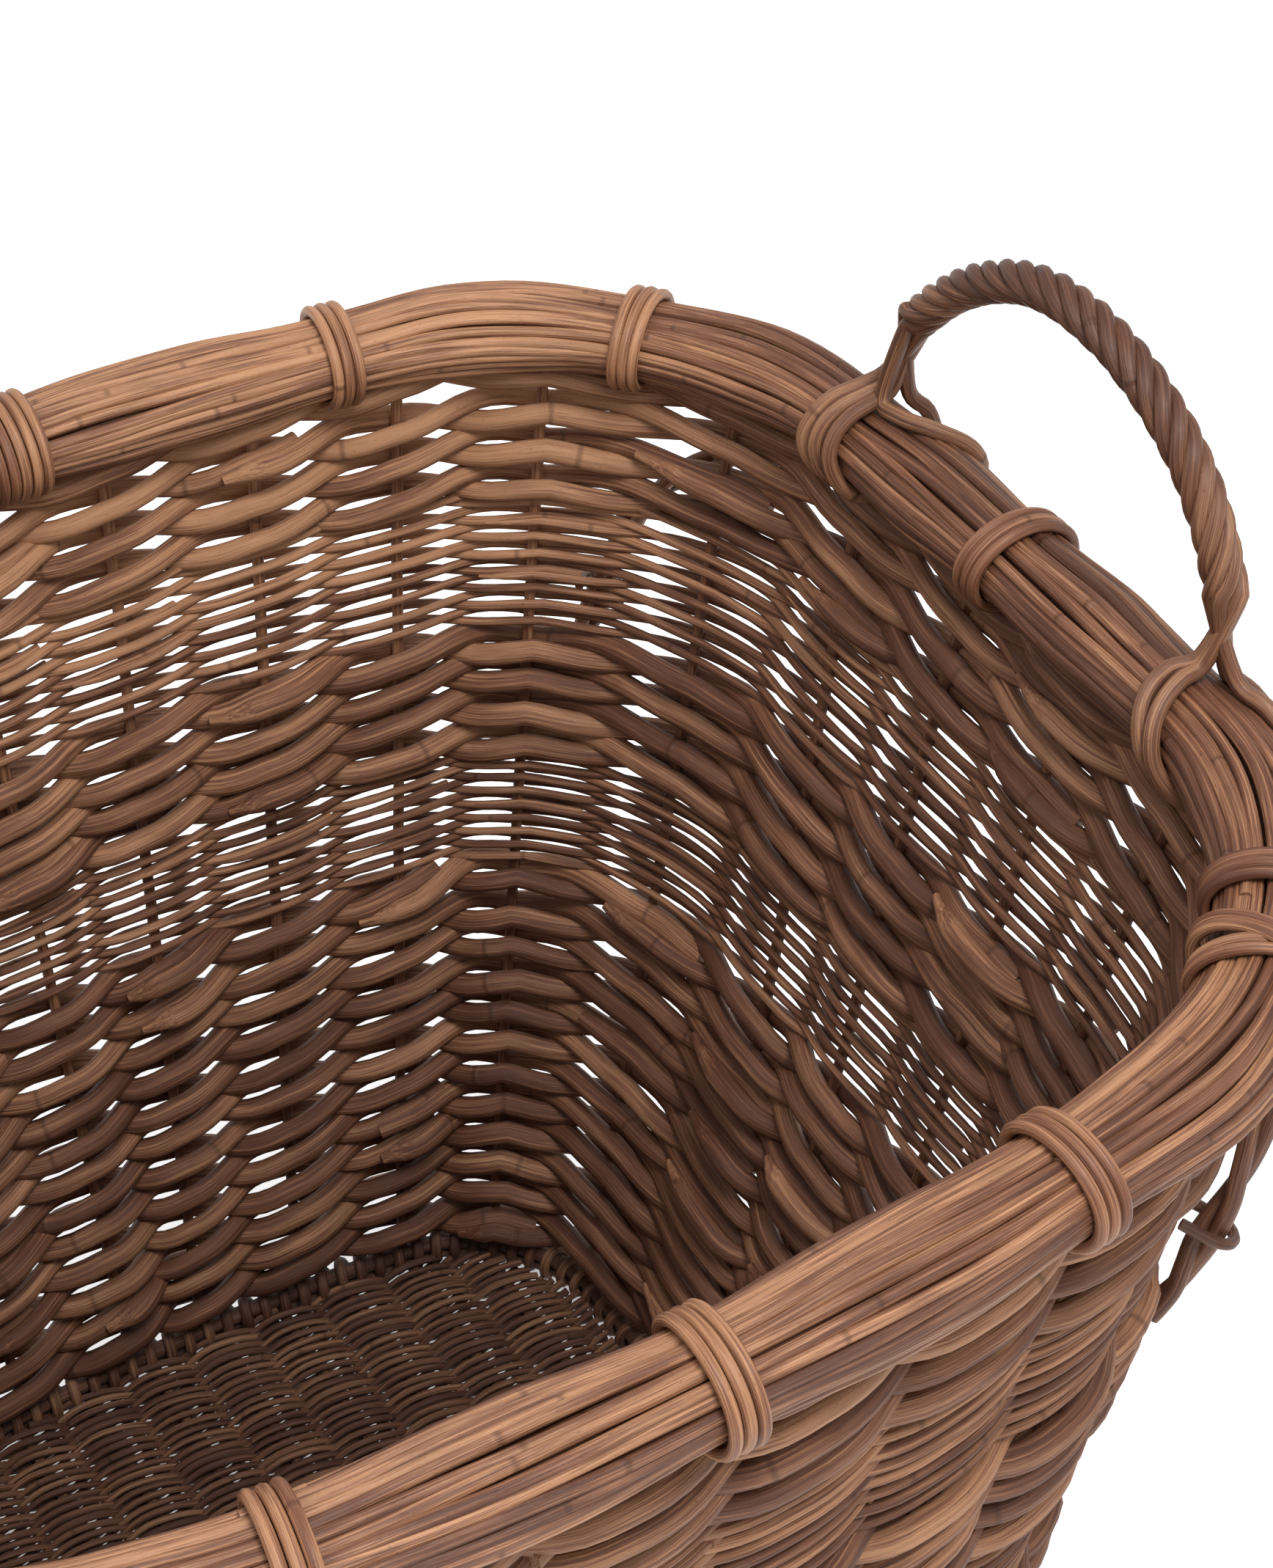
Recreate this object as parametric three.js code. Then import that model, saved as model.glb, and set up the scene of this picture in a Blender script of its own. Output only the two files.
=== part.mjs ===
// Woven rattan laundry basket with a bound rim and two twisted-cane handles.
// Millimetres, +Z up, +X along the long axis. The origin is on the floor, under the middle.
import * as THREE from 'three';

// ---- plan outline, at the middle of the base border and at the middle of the rim ----
// The two near corners are rounder than the two far ones at the base; at the rim all four match.
const BASE = {
  z: 12, halfLength: 178, halfWidth: 175, farCorner: 53, nearCorner: 110, endBow: 5, sideBow: 16,
};
const RIM = {
  z: 452, halfLength: 260, halfWidth: 198, farCorner: 103, nearCorner: 103, endBow: 9, sideBow: 33,
};
const END_STEPS = 3;
const CORNER_STEPS = 7;
const SIDE_STEPS = 6;

// ---- weave ----
const WALL_THICKNESS = 16;
const BAND_GAP = 0.3;
const BANDS = [
  { name: 'weave_bottom_thick', low: 20, high: 217, tint: 0x6b4a35 },
  { name: 'weave_lower_open', low: 217, high: 268, tint: 0x74523b },
  { name: 'weave_middle_thick', low: 268, high: 327, tint: 0x7d5941 },
  { name: 'weave_upper_open', low: 327, high: 386, tint: 0x8a6549 },
  { name: 'weave_top_thick', low: 386, high: 431.6, tint: 0x936c4f },
];
const BASE_PANEL_HEIGHT = 13;
const BORDER_HALF_WIDTH = 8;
const BORDER_HEIGHT = 19;

// ---- rim ----
const RIM_HALF_WIDTH = 18;
const RIM_HALF_HEIGHT = 14.2;
const RIM_SIDES = 14;
const RIM_STEPS = 96;
const SLEEVE_GAP = 0.9;
const SLEEVE_SIDES = 18;
const FOOT_THICK = 5;

// ---- handles ----
const HANDLE_OFFSET = 9;
const HANDLE_HALF_SPAN = 93;
const HANDLE_RISE = 99;
const HANDLE_LEAN = 5;
const SHOULDERS = { far: 1.75, near: 1.05 };
const ROPE_RADIUS = 7.2;
const ROPE_CANES = 5;
const ROPE_TURNS = 5.5;

// ---- handle tails: two canes twisted together, down the outside of the end wall ----
const TAIL_RADIUS = 5.6;
const TAIL_CANES = 2;
const TAIL_TURNS = 2.5;
// Outline step round the quarter, height, and distance off the middle of the wall.
const TAIL_PATH = [
  [2.9, 434, 28], [3.9, 420, 26], [5, 404, 25], [6, 386, 24.4], [6.7, 366, 23.6],
  [6.95, 345, 22.6], [7.1, 328, 19], [7.3, 312, 16],
];
const TIE_RADIUS = 2.2;
// Place along the tail, and how far each end goes in towards the wall.
const TIES = [[0.42, 12], [0.88, 6.5]];

const rattan = (tint, roughness) =>
  new THREE.MeshStandardMaterial({ color: tint, roughness, metalness: 0 });

/** Outline values at a height, between the base border and the rim. */
function sectionAt(z) {
  const t = (z - BASE.z) / (RIM.z - BASE.z);
  const section = {};
  for (const key of Object.keys(BASE)) section[key] = BASE[key] + (RIM[key] - BASE[key]) * t;
  return section;
}

/** A quarter of the outline, from the middle of the +X end towards the side, without the last point. */
function planQuarter(section, corner, fine) {
  const { halfLength, halfWidth, endBow, sideBow } = section;
  const quarter = [];
  const endSteps = END_STEPS * fine;
  const cornerSteps = CORNER_STEPS * fine;
  const sideSteps = SIDE_STEPS * fine;
  for (let i = 0; i < endSteps; i += 1) {
    quarter.push([halfLength, (halfWidth - corner) * (i / endSteps)]);
  }
  for (let i = 0; i < cornerSteps; i += 1) {
    const angle = (Math.PI / 2) * (i / cornerSteps);
    quarter.push([
      halfLength - corner + corner * Math.cos(angle),
      halfWidth - corner + corner * Math.sin(angle),
    ]);
  }
  for (let i = 0; i < sideSteps; i += 1) {
    quarter.push([(halfLength - corner) * (1 - i / sideSteps), halfWidth]);
  }
  return quarter.map(([x, y]) => [
    x + endBow * (1 - (y / halfWidth) ** 2) * Math.abs(x / halfLength),
    y + sideBow * (1 - (x / halfLength) ** 2) * Math.abs(y / halfWidth),
  ]);
}

/** Rounded rectangle with bowed sides, counter-clockwise from the middle of the +X end. */
function planPoints(section, fine = 1) {
  const far = planQuarter(section, section.farCorner, fine);
  const near = planQuarter(section, section.nearCorner, fine);
  const middle = section.halfWidth + section.sideBow;
  return [
    ...far, [0, middle], ...far.slice(1).reverse().map(([x, y]) => [-x, y]),
    ...near.map(([x, y]) => [-x, -y]), [0, -middle], ...near.slice(1).reverse().map(([x, y]) => [x, -y]),
  ];
}

/** Outline moved outwards by a distance, at one height. */
function offsetOutline(z, distance) {
  const points = planPoints(sectionAt(z));
  const count = points.length;
  return points.map(([x, y], i) => {
    const [ax, ay] = points[(i + count - 1) % count];
    const [bx, by] = points[(i + 1) % count];
    const length = Math.hypot(bx - ax, by - ay);
    return [x + (distance * (by - ay)) / length, y - (distance * (bx - ax)) / length, z];
  });
}

/** Closed body from a list of equal loops; the last loop joins the first, or both ends are capped. */
function skin(loops, closed) {
  const sides = loops[0].length;
  const positions = loops.flat(2);
  const index = [];
  const spans = closed ? loops.length : loops.length - 1;
  for (let i = 0; i < spans; i += 1) {
    const here = i * sides;
    const next = ((i + 1) % loops.length) * sides;
    for (let j = 0; j < sides; j += 1) {
      const k = (j + 1) % sides;
      index.push(here + j, here + k, next + k, here + j, next + k, next + j);
    }
  }
  if (!closed) {
    for (const [start, flip] of [[0, true], [(loops.length - 1) * sides, false]]) {
      const loop = loops[start / sides];
      const centre = positions.length / 3;
      for (let axis = 0; axis < 3; axis += 1) {
        positions.push(loop.reduce((sum, p) => sum + p[axis], 0) / sides);
      }
      for (let j = 0; j < sides; j += 1) {
        const k = (j + 1) % sides;
        if (flip) index.push(centre, start + k, start + j);
        else index.push(centre, start + j, start + k);
      }
    }
  }
  const geometry = new THREE.BufferGeometry();
  geometry.setAttribute('position', new THREE.Float32BufferAttribute(positions, 3));
  geometry.setIndex(index);
  geometry.computeVertexNormals();
  return geometry;
}

const group = new THREE.Group();
group.name = 'laundry_basket';

function add(name, geometry, tint, roughness = 0.7) {
  const mesh = new THREE.Mesh(geometry, rattan(tint, roughness));
  mesh.name = name;
  group.add(mesh);
}

// ---- base: flat woven panel inside a wrapped border ----
{
  const inner = offsetOutline(BASE.z, -BORDER_HALF_WIDTH - BAND_GAP);
  const low = inner.map(([x, y]) => [x, y, 0]);
  const high = inner.map(([x, y]) => [x, y, BASE_PANEL_HEIGHT]);
  add('base_panel', skin([low, high], false), 0x5a3d2b, 0.75);

  const inside = offsetOutline(BASE.z, -BORDER_HALF_WIDTH);
  const outside = offsetOutline(BASE.z, BORDER_HALF_WIDTH);
  const loops = inside.map(([ax, ay], i) => {
    const [bx, by] = outside[i];
    const at = (t, z) => [ax + (bx - ax) * t, ay + (by - ay) * t, z];
    return [
      at(0.2, 0), at(0.8, 0), at(1, 4), at(1, BORDER_HEIGHT - 4),
      at(0.8, BORDER_HEIGHT), at(0.2, BORDER_HEIGHT), at(0, BORDER_HEIGHT - 4), at(0, 4),
    ].reverse();
  });
  add('base_border', skin(loops, true), 0x5f422f, 0.75);
}

// ---- wall: five bands of weave, thick and open rows in turn ----
for (const band of BANDS) {
  const low = band.low + BAND_GAP / 2;
  const high = band.high - BAND_GAP / 2;
  const rings = [
    offsetOutline(low, -WALL_THICKNESS / 2),
    offsetOutline(low, WALL_THICKNESS / 2),
    offsetOutline(high, WALL_THICKNESS / 2),
    offsetOutline(high, -WALL_THICKNESS / 2),
  ];
  const loops = rings[0].map((_, i) => rings.map((ring) => ring[i]).reverse());
  add(band.name, skin(loops, true), band.tint, 0.75);
}

// ---- rim path by length, with its outward direction ----
const rimPlan = planPoints(RIM, 8);
const rimLengths = [0];
for (let i = 0; i < rimPlan.length; i += 1) {
  const [ax, ay] = rimPlan[i];
  const [bx, by] = rimPlan[(i + 1) % rimPlan.length];
  rimLengths.push(rimLengths[i] + Math.hypot(bx - ax, by - ay));
}
const rimTotal = rimLengths[rimPlan.length];

function rimPoint(length) {
  const s = ((length % rimTotal) + rimTotal) % rimTotal;
  let i = 0;
  while (rimLengths[i + 1] < s) i += 1;
  const t = (s - rimLengths[i]) / (rimLengths[i + 1] - rimLengths[i]);
  const [ax, ay] = rimPlan[i % rimPlan.length];
  const [bx, by] = rimPlan[(i + 1) % rimPlan.length];
  return [ax + (bx - ax) * t, ay + (by - ay) * t];
}

function rimFrame(length) {
  const [x, y] = rimPoint(length);
  const [ax, ay] = rimPoint(length - 3);
  const [bx, by] = rimPoint(length + 3);
  const step = Math.hypot(bx - ax, by - ay);
  return { x, y, outX: (by - ay) / step, outY: -(bx - ax) / step };
}

/** Point round the rim: distance along it, angle round its section, and how far off the skin. */
function roundRim(length, angle, off) {
  const { x, y, outX, outY } = rimFrame(length);
  const across = (RIM_HALF_WIDTH + off) * Math.cos(angle);
  const up = (RIM_HALF_HEIGHT + off) * Math.sin(angle);
  return [x + outX * across, y + outY * across, RIM.z + up];
}

{
  const loops = [];
  for (let i = 0; i < RIM_STEPS; i += 1) {
    const loop = [];
    for (let j = 0; j < RIM_SIDES; j += 1) {
      loop.push(roundRim((rimTotal * i) / RIM_STEPS, (-2 * Math.PI * j) / RIM_SIDES, 0));
    }
    loops.push(loop);
  }
  add('rim_bundle', skin(loops, true), 0x9a7354, 0.65);
}

/** Cane wound round the rim: a flat band with rounded edges. */
function rimSleeve(name, centre, width, thickness, tint) {
  const half = width / 2;
  const profile = [
    [-half, 0], [half, 0], [half, thickness * 0.6],
    [half - 1.2, thickness], [-half + 1.2, thickness], [-half, thickness * 0.6],
  ];
  const loops = [];
  for (let j = 0; j < SLEEVE_SIDES; j += 1) {
    const angle = (2 * Math.PI * j) / SLEEVE_SIDES;
    const loop = profile.map(([along, off]) => roundRim(centre + along, angle, SLEEVE_GAP + off));
    loops.push(loop.reverse());
  }
  add(name, skin(loops, true), tint, 0.55);
}

// Distances are from the middle of the +X end, counter-clockwise, as far as the far side.
const FOOT = 90;
const HALF = rimTotal / 2;
const WRAP_WIDTH = 12;
const WRAP_THICK = 4;
const FOOT_WIDTH = 24;
rimSleeve('wrap_end_right', 0, WRAP_WIDTH, WRAP_THICK, 0xa27c5c);
rimSleeve('wrap_end_left', HALF, WRAP_WIDTH, WRAP_THICK, 0xa27c5c);
rimSleeve('wrap_corner_far_right', 184, WRAP_WIDTH, WRAP_THICK, 0xab8564);
rimSleeve('wrap_corner_far_left', HALF - 184, WRAP_WIDTH, WRAP_THICK, 0xab8564);
rimSleeve('wrap_corner_near_right', -178, WRAP_WIDTH, WRAP_THICK, 0xa27c5c);
rimSleeve('wrap_corner_near_left', HALF + 178, WRAP_WIDTH, WRAP_THICK, 0xa27c5c);
rimSleeve('wrap_crossed_near_right', -210, 16, WRAP_THICK, 0xa27c5c);
rimSleeve('wrap_side_far_right', 297, WRAP_WIDTH, WRAP_THICK, 0xab8564);
rimSleeve('wrap_side_far_left', HALF - 297, WRAP_WIDTH, WRAP_THICK, 0xab8564);
rimSleeve('wrap_splice_far', HALF / 2, 44, WRAP_THICK, 0xab8564);
rimSleeve('wrap_side_near_right', -312, WRAP_WIDTH, WRAP_THICK, 0xa8805f);
rimSleeve('wrap_side_near_middle', -HALF / 2, WRAP_WIDTH, WRAP_THICK, 0xa8805f);
rimSleeve('wrap_side_near_left', HALF + 312, WRAP_WIDTH, WRAP_THICK, 0xa8805f);

// ---- handles: rope arch standing on the rim, with a wrapped foot at each side ----
/** Twisted rope of round canes along a curve. */
function rope(curve, radius, canes, turns, steps, sidesPerCane) {
  const frames = curve.computeFrenetFrames(steps, false);
  const sides = canes * sidesPerCane;
  const lobe = radius * 0.12;
  const loops = [];
  for (let i = 0; i <= steps; i += 1) {
    const centre = curve.getPointAt(i / steps);
    const twist = (2 * Math.PI * turns * i) / steps;
    const loop = [];
    for (let j = 0; j < sides; j += 1) {
      const angle = (2 * Math.PI * j) / sides;
      const r = radius - lobe + lobe * Math.cos(angle * canes);
      const point = centre.clone()
        .addScaledVector(frames.normals[i], r * Math.cos(angle + twist))
        .addScaledVector(frames.binormals[i], r * Math.sin(angle + twist));
      loop.push(point.toArray());
    }
    loops.push(loop);
  }
  return skin(loops, false);
}

const endX = RIM.halfLength + RIM.endBow;
const ropeFoot = RIM.z + RIM_HALF_HEIGHT + SLEEVE_GAP + FOOT_THICK + 1.2;

function handleArch(side) {
  const points = [];
  for (let i = 0; i <= 16; i += 1) {
    const angle = Math.PI * (i / 16);
    const y = HANDLE_HALF_SPAN * Math.cos(angle) - HANDLE_LEAN * Math.sin(angle) ** 2;
    const shoulder = i < 8 ? SHOULDERS.far : SHOULDERS.near;
    const z = ropeFoot + (RIM.z + HANDLE_RISE - ropeFoot) * Math.sin(angle) ** shoulder;
    points.push(new THREE.Vector3(side * (endX + HANDLE_OFFSET), side * y, z));
  }
  return new THREE.CatmullRomCurve3(points, false, 'centripetal');
}

for (const [side, label, middle] of [[1, 'right', 0], [-1, 'left', HALF]]) {
  add(`handle_rope_${label}`, rope(handleArch(side), ROPE_RADIUS, ROPE_CANES, ROPE_TURNS, 44, 3),
    0x7a5640, 0.6);
  rimSleeve(`handle_foot_far_${label}`, middle + side * FOOT, FOOT_WIDTH, FOOT_THICK, 0x8f6a4e);
  rimSleeve(`handle_foot_near_${label}`, middle - side * FOOT, FOOT_WIDTH, FOOT_THICK, 0x805c45);
}

/** Cane stitch over a tail: out of the wall, round the rope and back to the wall. */
function stitch(curve, at, depth, wallward) {
  const centre = curve.getPointAt(at);
  const along = curve.getTangentAt(at);
  const out = wallward.clone().negate().addScaledVector(along, wallward.dot(along)).normalize();
  const across = new THREE.Vector3().crossVectors(along, out);
  const reach = TAIL_RADIUS + TIE_RADIUS + 0.7;
  const points = [centre.clone().addScaledVector(across, -reach).addScaledVector(out, -depth)];
  for (let i = 0; i <= 6; i += 1) {
    const angle = Math.PI * (i / 6);
    points.push(centre.clone()
      .addScaledVector(across, -reach * Math.cos(angle))
      .addScaledVector(out, reach * Math.sin(angle)));
  }
  points.push(centre.clone().addScaledVector(across, reach).addScaledVector(out, -depth));
  const path = new THREE.CatmullRomCurve3(points, false, 'centripetal');
  return rope(path, TIE_RADIUS, 6, 0, 12, 1);
}

for (const [endSign, end] of [[1, 'right'], [-1, 'left']]) {
  for (const [depthSign, depth] of [[1, 'far'], [-1, 'near']]) {
    const points = TAIL_PATH.map(([step, z, off]) => {
      const outline = offsetOutline(z, off);
      const whole = Math.floor(step);
      const [low, high] = [whole, whole + 1].map(
        (i) => outline[depthSign > 0 ? i : outline.length - i]);
      const [x, y] = [0, 1].map((axis) => low[axis] + (high[axis] - low[axis]) * (step - whole));
      return new THREE.Vector3(endSign * x, y, z);
    });
    const curve = new THREE.CatmullRomCurve3(points, false, 'centripetal');
    add(`handle_tail_${depth}_${end}`,
      rope(curve, TAIL_RADIUS, TAIL_CANES, TAIL_TURNS, 26, 5), 0x5d4130, 0.65);
    const wallward = new THREE.Vector3(-endSign, -depthSign, 0.1);
    TIES.forEach(([at, tieDepth], i) => {
      add(`tail_tie_${i + 1}_${depth}_${end}`, stitch(curve, at, tieDepth, wallward), 0x7a5640, 0.6);
    });
  }
}

export default group;
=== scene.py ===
import math

import bpy
import numpy as np
from bpy.props import FloatProperty, FloatVectorProperty, IntProperty, PointerProperty
from mathutils import Matrix, Vector


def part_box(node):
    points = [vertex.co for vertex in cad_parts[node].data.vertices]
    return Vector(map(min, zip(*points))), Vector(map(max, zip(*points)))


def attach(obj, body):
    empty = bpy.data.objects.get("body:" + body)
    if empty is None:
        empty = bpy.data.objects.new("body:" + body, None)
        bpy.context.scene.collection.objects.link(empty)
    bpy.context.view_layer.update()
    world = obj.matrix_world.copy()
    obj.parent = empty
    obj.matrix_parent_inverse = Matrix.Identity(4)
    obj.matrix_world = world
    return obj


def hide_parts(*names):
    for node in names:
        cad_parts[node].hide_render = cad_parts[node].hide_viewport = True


bl_info = {
    "name": "Woven cane laundry basket",
    "version": (1, 0, 0),
    "blender": (4, 5, 0),
    "location": "3D View > Sidebar > Basket",
    "description": "Builds the canes of a twined laundry basket round its solid frame",
    "category": "Object",
}

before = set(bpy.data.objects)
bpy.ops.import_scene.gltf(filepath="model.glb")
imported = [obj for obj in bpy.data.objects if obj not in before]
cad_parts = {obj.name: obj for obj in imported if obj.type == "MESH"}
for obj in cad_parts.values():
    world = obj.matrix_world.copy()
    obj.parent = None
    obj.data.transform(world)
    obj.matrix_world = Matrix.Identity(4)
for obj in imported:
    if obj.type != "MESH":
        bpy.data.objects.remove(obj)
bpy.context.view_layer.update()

# ---- the basket's plan, in metres; heights and reach come from the frame ----
RIM_HALF_WIDTH = 0.018
WALL_HALF = 0.008
BASE_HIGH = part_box("base_border")[1]
RIM_LOW, RIM_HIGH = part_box("rim_bundle")
RIM_Z = (RIM_LOW.z + RIM_HIGH.z) / 2
RIM_HALF_HEIGHT = (RIM_HIGH.z - RIM_LOW.z) / 2
BASE_Z = 0.012
BASE_PLAN = {"end_bow": 0.005, "side_bow": 0.016, "far_corner": 0.053, "near_corner": 0.110}
RIM_PLAN = {"end_bow": 0.009, "side_bow": 0.033, "far_corner": 0.103, "near_corner": 0.103}
for plan, reach, margin in ((RIM_PLAN, RIM_HIGH, RIM_HALF_WIDTH), (BASE_PLAN, BASE_HIGH, WALL_HALF)):
    plan["half_length"] = reach.x - margin - plan["end_bow"]
    plan["half_width"] = reach.y - margin - plan["side_bow"]
# The border's box is measured at its top edge, a little above the base plan and so a little wider.
BORDER_FLARE = {"half_length": 0.0013, "half_width": 0.0005}
for key, flare in BORDER_FLARE.items():
    BASE_PLAN[key] -= flare

# Uprights, as quarters round the wall from the middle of the right end, at the rim.
# Seven round the right far corner have their own places, each with how far its foot is shifted,
# in quarters; the rest share the remaining way.
UPRIGHTS_PLACED = (0.04, 0.188, 0.335, 0.508, 0.635, 0.765, 0.897)
UPRIGHTS_LEAN = (0.01, -0.038, 0.038, 0.015, 0.01, 0.025, 0.028)
UPRIGHTS = 29
MOST_LEAN = 0.015


def smoothstep(low, high, value):
    t = np.clip((value - low) / (high - low), 0, 1)
    return t * t * (3 - 2 * t)


def plan_at(z):
    t = (z - BASE_Z) / (RIM_Z - BASE_Z)
    return {key: BASE_PLAN[key] + (RIM_PLAN[key] - BASE_PLAN[key]) * t for key in BASE_PLAN}


def quarter_outline(z, steps, which):
    """Quarter of the wall's plan at one height, from the end to the side, in even steps."""
    plan = plan_at(z)
    corner, length, width = plan[which], plan["half_length"], plan["half_width"]
    end = np.linspace(0, width - corner, 40)[:-1]
    turn = np.linspace(0, math.pi / 2, 80)[:-1]
    side = np.linspace(length - corner, 0, 40)
    x = np.concatenate([np.full(end.size, length), length - corner + corner * np.cos(turn), side])
    y = np.concatenate([end, width - corner + corner * np.sin(turn), np.full(side.size, width)])
    bowed_x = x + plan["end_bow"] * (1 - (y / width) ** 2) * x / length
    bowed_y = y + plan["side_bow"] * (1 - (x / length) ** 2) * y / width
    way = np.concatenate([[0], np.cumsum(np.hypot(np.diff(bowed_x), np.diff(bowed_y)))])
    even = np.linspace(0, way[-1], steps + 1)
    return np.stack([np.interp(even, way, bowed_x), np.interp(even, way, bowed_y)], 1), way[-1]


class Wall:
    """The middle of the wall as a surface: quarters round from the right end, and height."""

    STEPS = 96
    LOWEST, HIGHEST, LEVELS = -0.01, 0.48, 50

    def __init__(self):
        self.heights = np.linspace(self.LOWEST, self.HIGHEST, self.LEVELS)
        rows, self.lengths = [], []
        for z in self.heights:
            far, length = quarter_outline(z, self.STEPS, "far_corner")
            near = quarter_outline(z, self.STEPS, "near_corner")[0]
            self.lengths.append(length)
            ring = np.concatenate([
                far, far[::-1][1:] * (-1, 1), near[1:] * (-1, -1), near[::-1][1:] * (1, -1)])
            rows.append(np.column_stack([ring, np.full(len(ring), z)]))
        self.grid = np.array(rows)
        round_step = np.gradient(self.grid, axis=1)
        round_step[:, 0] = round_step[:, -1] = self.grid[:, 1] - self.grid[:, -2]
        up_step = np.gradient(self.grid, axis=0)
        out = np.cross(round_step, up_step)
        self.out = out / np.linalg.norm(out, axis=2)[..., None]

    def _look_up(self, table, quarters, z):
        across = (np.asarray(quarters, float) % 4) * self.STEPS
        up = (np.asarray(z, float) - self.heights[0]) / (self.heights[1] - self.heights[0])
        across, up = np.broadcast_arrays(across, up)
        i = np.clip(across.astype(int), 0, 4 * self.STEPS - 1)
        j = np.clip(up.astype(int), 0, len(self.heights) - 2)
        s, t = (across - i)[..., None], (up - j)[..., None]
        low = table[j, i] * (1 - s) + table[j, i + 1] * s
        high = table[j + 1, i] * (1 - s) + table[j + 1, i + 1] * s
        return low * (1 - t) + high * t

    def outward(self, quarters, z):
        """Direction square to the wall, away from the inside."""
        return self._look_up(self.out, quarters, z)

    def at(self, quarters, z, off=0.0):
        """Points at a distance off the middle of the wall, outward."""
        out = self.outward(quarters, z)
        return self._look_up(self.grid, quarters, z) + out * np.asarray(off)[..., None]


wall = Wall()
RIM_QUARTER = float(np.interp(RIM_Z, wall.heights, wall.lengths))
RIM_ROUND = 4 * RIM_QUARTER


def upright_places():
    """Where each upright stands, in quarters, at the rim and at the base."""
    last = UPRIGHTS_PLACED[-1]
    free = UPRIGHTS - len(UPRIGHTS_PLACED) + 1
    gap = (4 + UPRIGHTS_PLACED[0] - last) / free
    rng = np.random.default_rng(11)
    rest = [last + gap * i for i in range(1, free)]
    rim = np.array(list(UPRIGHTS_PLACED) + rest)
    lean = np.array(list(UPRIGHTS_LEAN) + list(rng.uniform(-MOST_LEAN, MOST_LEAN, len(rest))))
    return rim, rim + lean


UPRIGHT_RIM, UPRIGHT_BASE = upright_places()


def upright_quarters(count, z):
    """Quarters round the wall for a place counted in uprights, at height z."""
    t = np.clip((np.asarray(z) - BASE_Z) / (RIM_Z - BASE_Z), 0, 1)
    whole = np.arange(-1, UPRIGHTS + 2)
    turns = whole // UPRIGHTS
    rim = UPRIGHT_RIM[whole % UPRIGHTS] + 4 * turns
    base = UPRIGHT_BASE[whole % UPRIGHTS] + 4 * turns
    count = np.asarray(count, float) % UPRIGHTS
    return (1 - t) * np.interp(count, whole, base) + t * np.interp(count, whole, rim)


def twist_hand(count):
    """+1 where the canes of a row cross one way, on the long sides; -1 on the two ends."""
    just_past = UPRIGHT_RIM + 0.05
    ends = (just_past + 0.5) % 2 < 1
    return np.where(ends[np.floor(count + 1e-6).astype(int) % UPRIGHTS], -1.0, 1.0)


def wander(rng, places, reach, size):
    """Slow random drift along a way: about `size` high, changing over `reach`."""
    total = np.zeros(len(places))
    for share, stretch in ((0.6, 1.0), (0.4, 0.45)):
        phase, speed = rng.uniform(0, 2 * math.pi), rng.uniform(0.8, 1.25)
        total += share * np.sin(np.asarray(places) * 2 * math.pi * speed / (reach * stretch) + phase)
    return total * size


def smooth_way(points, step):
    """Points every `step` along a smooth curve through the given ones."""
    points = np.asarray(points, float)
    padded = np.vstack([2 * points[0] - points[1], points, 2 * points[-1] - points[-2]])
    fine = []
    for i in range(1, len(padded) - 2):
        a, b, c, d = padded[i - 1:i + 3]
        t = np.linspace(0, 1, 13)[:-1, None]
        fine.append(0.5 * (2 * b + (c - a) * t + (2 * a - 5 * b + 4 * c - d) * t ** 2
                           + (3 * b - a - 3 * c + d) * t ** 3))
    fine = np.vstack(fine + [points[-1:]])
    way = np.concatenate([[0], np.cumsum(np.linalg.norm(np.diff(fine, axis=0), axis=1))])
    even = np.linspace(0, way[-1], max(3, int(way[-1] / step) + 1))
    return np.stack([np.interp(even, way, fine[:, i]) for i in range(3)], 1)


# ---- node trees, written as ordinary sums ----
class Value:
    """A node's output that takes part in ordinary sums."""

    def __init__(self, graph, socket):
        self.graph, self.socket = graph, socket

    def _sum(self, operation, first, second):
        return self.graph.maths(operation, first, second)

    def __add__(self, other):
        return self._sum("ADD", self, other)

    def __radd__(self, other):
        return self._sum("ADD", other, self)

    def __sub__(self, other):
        return self._sum("SUBTRACT", self, other)

    def __rsub__(self, other):
        return self._sum("SUBTRACT", other, self)

    def __mul__(self, other):
        return self._sum("MULTIPLY", self, other)

    def __rmul__(self, other):
        return self._sum("MULTIPLY", other, self)

    def __truediv__(self, other):
        return self._sum("DIVIDE", self, other)


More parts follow.
